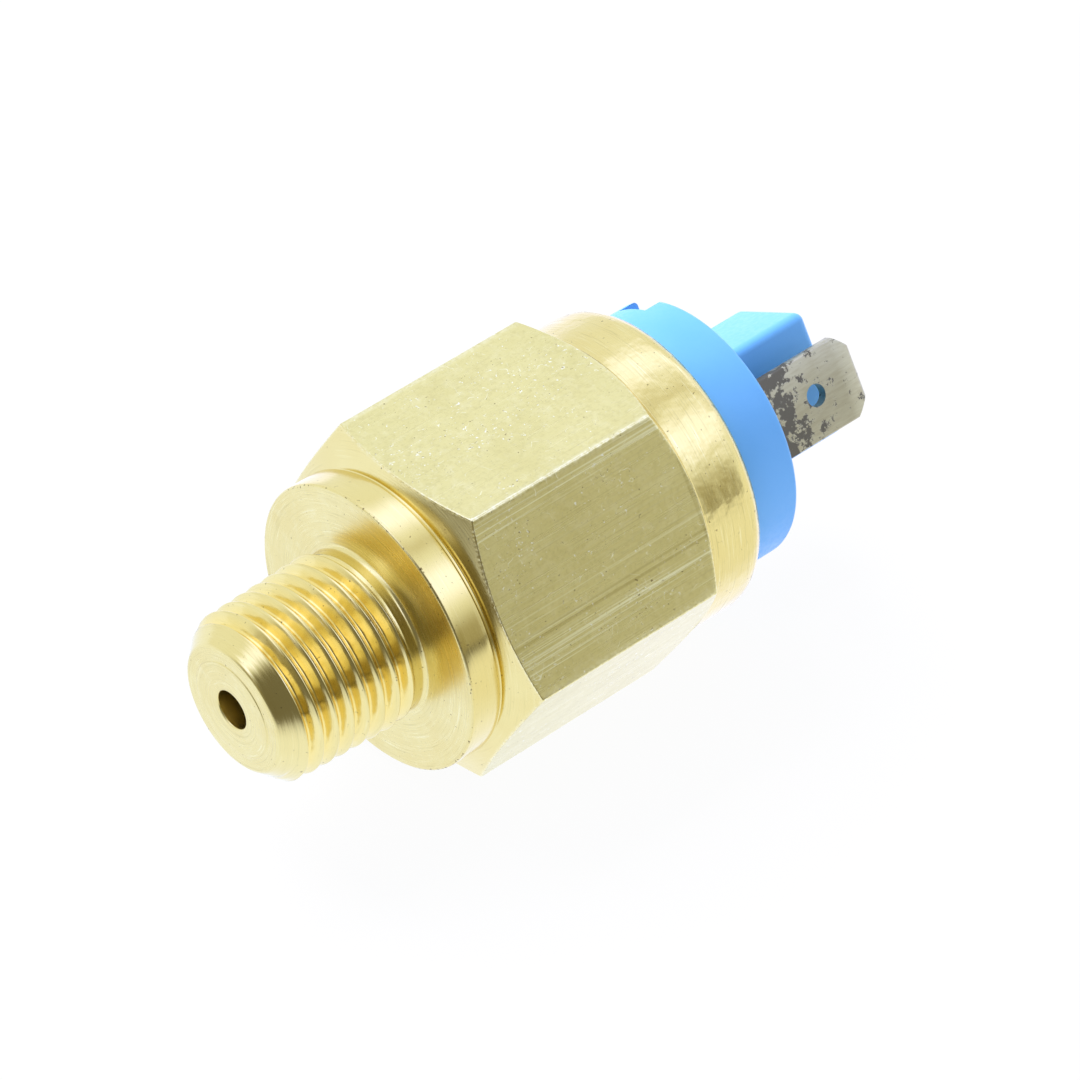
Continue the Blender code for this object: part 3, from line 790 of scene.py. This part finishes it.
class Finish(Nodes):
    """A node material under construction."""

    def __init__(self, name, roughness, metallic):
        self.material = bpy.data.materials.new(name)
        self.material.use_nodes = True
        super().__init__(self.material.node_tree, "Object")
        self.shader = self.tree.nodes["Principled BSDF"]
        self.shader.inputs["Roughness"].default_value = roughness
        self.shader.inputs["Metallic"].default_value = metallic

    def ring_place(self):
        """A place that runs quickly along the profile and slowly round the axis, for turning marks."""
        slow = 30.0
        _, y, z = self.parts()
        join = self.tree.nodes.new("ShaderNodeCombineXYZ")
        self.link(self.attribute("along"), join.inputs[0])
        self.link(self.times(y, slow), join.inputs[1])
        self.link(self.times(z, slow), join.inputs[2])
        return join.outputs[0]

    def bump(self, height, distance):
        node = self.tree.nodes.new("ShaderNodeBump")
        node.inputs["Strength"].default_value = 1.0
        node.inputs["Distance"].default_value = distance
        self.link(height, node.inputs["Height"])
        self.tree.links.new(node.outputs["Normal"], self.shader.inputs["Normal"])

    def set(self, **sockets):
        for name, value in sockets.items():
            self.link(value, self.shader.inputs[name.replace("_", " ").title()])


def brass_colour(make, on):
    """The brass before any mark: painted golden interreflection in the thread's valleys, mottled and palely
    bloomed on the flats.
    """
    cloud = make.rise(make.noise(160.0, 4.0, 0.55), 0.35, 0.7)
    # painted golden interreflection, strongest where the thread cuts deepest
    turned = make.mix(on["valley"], make.mix(cloud, *TURNED_BRASS), VALLEY_REFLECTION_GOLD)
    colour = make.mix(on["flat"], turned, make.mix(cloud, *FLAT_BRASS))
    mottle = make.rise(make.noise(3200.0, 4.0, 0.75), 0.44, 0.70, 0.0, 0.42)
    colour = make.mix(make.times(mottle, on["flat"]), colour, MOTTLE_OLIVE)
    bloom = make.rise(make.noise(900.0, 5.0, 0.72), 0.46, 0.70, 0.0, 0.32)
    even = make.greater(on["flat"], make.times(on["faced"], 0.7))
    return make.mix(make.times(bloom, even), colour, BLOOM_PALE)


def tool_lines(make, on, grain, colour):
    """Dark and bright tool lines everywhere, and score lines in two strips along the front flat.

    One strip is the flat's upper border. The other is below its middle, and slow bands break it up.
    """
    faint = make.rise(on["flat"], 0.0, 1.0, 0.15, 0.22)
    marked = make.add_shares(faint, (on["skirt"], 0.3), (on["scored"], 0.25), (on["faced"], 0.2))
    colour = make.mix(make.times(make.rise(grain, 0.55, 0.72), marked), colour, LINE_DARK)
    colour = make.mix(make.times(make.rise(grain, 0.42, 0.28), marked), colour, LINE_BRIGHT)
    along = make.stretch((0.006, 1.0, 1.0))
    bands = make.rise(make.noise(900.0, 2.0, 0.5, along), 0.42, 0.58)
    up = make.towards(FRONT_FLAT_UP)
    upper = make.rise(up, *UPPER_STRIP, 0.0, 0.8)
    lower = make.times(make.rise(up, *LOWER_STRIP_TOP), make.rise(up, *LOWER_STRIP_FOOT))
    lower = make.times(make.greater(lower, 0.15), bands)
    out = make.rise(make.towards(FRONT_FLAT_OUT), *FRONT_FLAT_DEPTH)
    strips = make.times(make.greater(upper, lower), make.times(out, on["flat"]))
    lines = make.rise(make.noise(5200.0, 3.0, 0.65, along), 0.52, 0.64)
    colour = make.mix(make.times(lines, strips), colour, SCORE_BRIGHT)
    shade = make.rise(make.noise(2100.0, 3.0, 0.6, along), 0.52, 0.38, 0.0, 0.6)
    return make.mix(make.times(shade, strips), colour, SCORE_DARK)


def nicks_and_wear(make, on, colour):
    """Hair scratches, nicks and flecks on the flats, dark specks by the rims, and bright worn edges.

    A hair scratch is a contour line of a slow noise, broken up by another. A nick is a dark pit with a
    painted highlight on one side of its lip, which is the same noise a little way off.
    """
    contour = make.maths("ABSOLUTE", make.maths("SUBTRACT", make.noise(620.0, 1.0, 0.5), 0.5))
    hairs = make.times(make.rise(contour, 0.006, 0.001), make.rise(make.noise(1500.0), 0.53, 0.62))
    patches = make.times(make.rise(make.noise(230.0, 2.0, 0.5), 0.48, 0.62), on["flat"])
    pits = make.rise(make.noise(3900.0, 2.0, 0.6), 0.665, 0.71)
    # painted highlight: the pits' noise moved a little to one side, so each nick is lit on that side only
    lip_highlights = make.rise(make.noise(3900.0, 2.0, 0.6, make.shift(LIP_OFFSET)), 0.645, 0.70)
    flecks = make.rise(make.noise(2500.0, 2.0, 0.6), 0.69, 0.73)
    specks = make.add_shares(make.noise(3600.0, 2.0, 0.6), (on["rim"], 0.16))
    worn = make.rise(make.noise(2600.0, 4.0, 0.7), 0.36, 0.66, 0.1, 0.62)
    for share, mark in (
        (make.times(hairs, on["flat"]), HAIR_BRIGHT),
        (make.times(pits, patches), PIT_DARK),
        (make.times(lip_highlights, patches), LIP_HIGHLIGHT),
        (make.times(flecks, on["flat"]), FLECK_BRIGHT),
        (make.rise(specks, 0.69, 0.76), SPECK_DARK),
        (make.times(worn, on["edge"]), EDGE_BRIGHT),
    ):
        colour = make.mix(share, colour, mark)
    return colour


def machined_brass():
    """Brass bar stock: drawn lines along the flats, turning marks elsewhere, pits, nicks and worn edges.

    The relief is the grain plus waves in the skirt, ripples in the thread's valleys, steps on the rest of the
    port and chips along the edges.
    """
    make = Finish("machined_brass", 0.3, 1.0)
    marks = ("flat", "scored", "edge", "port", "faced", "valley", "skirt", "rim")
    on = {name: make.attribute(name) for name in marks}
    drawn = make.noise(7000.0, 3.0, 0.65, make.stretch((0.015, 1.0, 1.0)))
    rings = make.noise(9.0, 3.0, 0.6, make.ring_place())
    grain = make.blend(on["flat"], rings, drawn)
    colour = tool_lines(make, on, grain, brass_colour(make, on))
    make.set(base_color=nicks_and_wear(make, on, colour))
    smooth = make.rise(grain, 0.25, 0.75, 0.13, 0.21)
    rough = make.add_shares(smooth, (on["flat"], 0.13), (on["skirt"], 0.06), (on["faced"], 0.12))
    make.set(roughness=rough)
    plain_port = make.times(on["port"], make.maths("SUBTRACT", 1.0, on["valley"]))
    relief = make.add_shares(
        grain,
        (make.times(make.noise(420.0, 3.0, 0.5), on["skirt"]), 40.0),
        (make.times(make.noise(850.0, 1.0, 0.5), on["valley"]), 26.0),
        (make.times(make.noise(3.5, 2.0, 0.5, make.ring_place()), plain_port), 9.0),
        (make.times(make.noise(2400.0, 2.0, 0.6), on["edge"]), 14.0),
    )
    make.bump(relief, 0.003 * MM)
    return make.material


def plain_metal(name, colour, dark, roughness):
    """A small metal piece: slow clouds of tarnish and fine grain in roughness and relief."""
    make = Finish(name, roughness, 1.0)
    cloud = make.noise(350.0, 4.0, 0.6)
    grain = make.noise(4000.0, 2.0, 0.5)
    make.set(base_color=make.mix(make.rise(cloud, 0.4, 0.7), colour, dark))
    make.set(roughness=make.rise(grain, 0.3, 0.7, roughness - 0.08, roughness + 0.1))
    make.bump(grain, 0.004 * MM)
    return make.material


def moulded_plastic(name, colour, shade, roughness):
    """Moulded plastic: faint flow clouds and a fine matt skin."""
    make = Finish(name, roughness, 0.0)
    cloud = make.noise(120.0, 3.0, 0.5)
    skin = make.noise(2600.0, 2.0, 0.5)
    make.set(base_color=make.mix(make.rise(cloud, 0.35, 0.7), colour, shade))
    make.set(roughness=make.rise(skin, 0.3, 0.7, roughness - 0.06, roughness + 0.06))
    make.bump(skin, 0.006 * MM)
    return make.material


def tarnished_tab():
    """Tinned brass strip: fine drawn lines, and dark ragged tarnish that is thickest near the cap."""
    make = Finish("tarnished_tab", 0.35, 1.0)
    drawn = make.noise(5000.0, 3.0, 0.6, make.stretch((0.15, 1.0, 1.0)))
    blotch = make.noise(1100.0, 6.0, 0.72)
    near_cap = make.rise(make.parts()[0], *TARNISH_REACH, 0.0, 0.19)
    dark = make.rise(make.maths("ADD", blotch, near_cap), 0.585, 0.625)
    colour = make.mix(make.rise(drawn, 0.3, 0.75), *TIN)
    make.set(base_color=make.mix(dark, colour, TARNISH))
    make.set(roughness=make.rise(dark, 0.0, 1.0, 0.36, 0.6))
    make.bump(make.add_shares(drawn, (dark, -2.0)), 0.003 * MM)
    return make.material


# Stage

def make_camera():
    """The photograph's camera: its place, direction, roll and focal length."""
    data = bpy.data.cameras.new("camera")
    data.sensor_width = SENSOR_WIDTH
    data.lens = VIEW_LENS
    data.clip_start = 0.01
    camera = bpy.data.objects.new("camera", data)
    bpy.context.scene.collection.objects.link(camera)
    out = math.cos(VIEW_ELEVATION)
    back = Vector((math.sin(VIEW_AZIMUTH) * out, -math.cos(VIEW_AZIMUTH) * out, math.sin(VIEW_ELEVATION)))
    level = (-back).to_track_quat("-Z", "Y").to_matrix()
    turned = level @ Matrix.Rotation(VIEW_ROLL, 3, "Z")
    camera.matrix_world = Matrix.Translation(VIEW_PLACE) @ turned.to_4x4()
    bpy.context.scene.camera = camera


def make_floor():
    """A wide white floor with a faint shadow.

    The camera sees it as white. The metal sees it bright behind and beneath the switch, and dim far out
    towards the camera.
    """
    corners = FLOOR_HALF * np.array([[-1, -1], [1, -1], [1, 1], [-1, 1]])
    points = np.column_stack([corners, np.full(4, FLOOR_HEIGHT)])
    floor = mesh_piece("floor", points, [[0, 1, 2, 3]])
    make = Finish("floor", 0.9, 0.0)
    make.set(base_color=(0.9, 0.9, 0.9, 1.0))
    x, y, _ = make.parts()
    behind = make.rise(make.towards(BACK_SIDE), *BEHIND_REACH)
    beneath = make.times(make.rise(x, *BENEATH_REACH_X), make.rise(y, *BENEATH_REACH_Y))
    outward = make.rise(make.towards(CAMERA_SIDE), *OUTWARD_REACH)
    reflected = make.mix(behind, PAPER_FRONT, PAPER_BEHIND)
    reflected = make.mix(beneath, reflected, PAPER_BENEATH)
    reflected = make.mix(outward, reflected, ROOM_DARK)
    path = make.tree.nodes.new("ShaderNodeLightPath")
    glow = make.tree.nodes.new("ShaderNodeEmission")
    blend = make.tree.nodes.new("ShaderNodeMixShader")
    seen = path.outputs["Is Camera Ray"]
    mirrored = make.greater(path.outputs["Is Glossy Ray"], path.outputs["Is Transmission Ray"])
    shining = make.greater(make.times(seen, FLOOR_SEEN_GLOW), mirrored)
    make.link(make.mix(seen, reflected, FLOOR_WHITE), glow.inputs["Color"])
    make.link(make.greater(shining, FLOOR_MATT_GLOW), blend.inputs[0])
    make.link(make.shader.outputs[0], blend.inputs[1])
    make.link(glow.outputs[0], blend.inputs[2])
    make.link(blend.outputs[0], make.tree.nodes["Material Output"].inputs["Surface"])
    floor.data.materials.append(make.material)


def make_world():
    """A white studio with two long soft boxes over the switch, and a dim room low on the camera's side.

    The metal mirrors all of it, and the matt pieces get a plain light that is weaker overhead and in front.
    """
    world = bpy.data.worlds.new("studio")
    bpy.context.scene.world = world
    world.use_nodes = True
    make = Nodes(world.node_tree, "Generated")
    _, y, z = make.parts()
    angle = make.maths("DEGREES", make.maths("ARCTAN2", y, z))
    light = STUDIO_WALL
    strips = [(CEILING_GAP, CEILING_SHADE), *((box, SOFT_BOX_LIGHT) for box in SOFT_BOXES)]
    for (centre, half), colour in strips:
        away = make.maths("ABSOLUTE", make.maths("SUBTRACT", angle, centre))
        light = make.mix(make.rise(away, half + SOFT_EDGE, half - SOFT_EDGE), light, colour)
    camera_side = make.towards(CAMERA_SIDE)
    room = make.times(make.rise(camera_side, *ROOM_SIDE), make.rise(z, *ROOM_HEIGHT))
    light = make.mix(room, light, ROOM_WALL)
    light = make.mix(make.rise(make.towards(DARK_CENTRE), *DARK_SPREAD), light, ROOM_DARK)
    matt = make.mix(make.rise(camera_side, *MATT_SPREAD), MATT_LIGHT_LOW, MATT_LIGHT_FRONT)
    matt = make.mix(make.rise(z, *MATT_SPREAD), matt, MATT_LIGHT_HIGH)
    mirrored = world.node_tree.nodes.new("ShaderNodeLightPath").outputs["Is Glossy Ray"]
    light = make.mix(mirrored, matt, light)
    make.link(light, world.node_tree.nodes["Background"].inputs["Color"])


def make_lamp():
    """A soft box high behind the switch, for the plastic alone: the metal mirrors only the studio."""
    data = bpy.data.lights.new("overhead", "AREA")
    data.size = LAMP_SIZE
    data.energy = LAMP_ENERGY
    data.color = LAMP_COLOUR
    lamp = bpy.data.objects.new("overhead", data)
    bpy.context.scene.collection.objects.link(lamp)
    lamp.location = LAMP_PLACE
    lamp.rotation_euler = (-LAMP_PLACE).to_track_quat("-Z", "Y").to_euler()
    lamp.visible_glossy = False


def dress(piece, material, body, node):
    """Give a new piece its material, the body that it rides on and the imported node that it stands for."""
    piece.data.materials.clear()
    piece.data.materials.append(material)
    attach(piece, body)
    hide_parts(node)


def dress_spring(material):
    """The main spring in two halves, each with the material and fixed in place; the imported spring is
    hidden.
    """
    half_turns = SPRING_TURNS // 2
    for name, body, first_turn, end in (
        ("spring_lower_half", "plunger", 0, SPRING_LOW.x + SPRING_WIRE),
        ("spring_upper_half", "spring_seat", half_turns, SPRING_HIGH.x - SPRING_WIRE),
    ):
        piece = make_spring_half(name, first_turn, first_turn + half_turns)
        piece.data.materials.append(material)
        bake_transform(piece)
        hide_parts("main_spring")


def dress_inside():
    """Finishes of the inner pieces, by the record's material slots."""
    finishes = {
        "brass": plain_metal("turned_brass", (0.78, 0.66, 0.30), (0.66, 0.54, 0.24), 0.3),
        "steel": plain_metal("plated_steel", (0.62, 0.62, 0.62), (0.48, 0.48, 0.49), 0.3),
        "silver": plain_metal("contact_silver", (0.92, 0.90, 0.87), (0.74, 0.72, 0.68), 0.25),
        "rubber": moulded_plastic("black_rubber", (0.028, 0.028, 0.03), (0.045, 0.045, 0.045), 0.7),
        "ivory_plastic": moulded_plastic("ivory_plastic", (0.80, 0.77, 0.68), (0.72, 0.69, 0.60), 0.5),
    }
    dress_spring(finishes["steel"])
    for entry in frame["record"]["subparts"]:
        node = frame["nodes"][entry["node"]]
        if not node.hide_render and entry["material_slot"] in finishes:
            node.data.materials.clear()
            node.data.materials.append(finishes[entry["material_slot"]])


def main():
    """Set the stage, and make and dress every piece."""
    bpy.context.scene.view_settings.view_transform = "Standard"
    make_camera()
    make_floor()
    make_world()
    make_lamp()
    dress(make_body(), machined_brass(), "housing", "body")
    dress(make_cap(), moulded_plastic("blue_nylon", *BLUE, 0.42), "housing", "terminal_cap")
    tab_metal = tarnished_tab()
    for word, side in (("near", -1), ("far", 1)):
        dress(make_tab("spade_tab_" + word, side), tab_metal, "housing", "terminal_tab_" + word)
    dress_inside()


main()
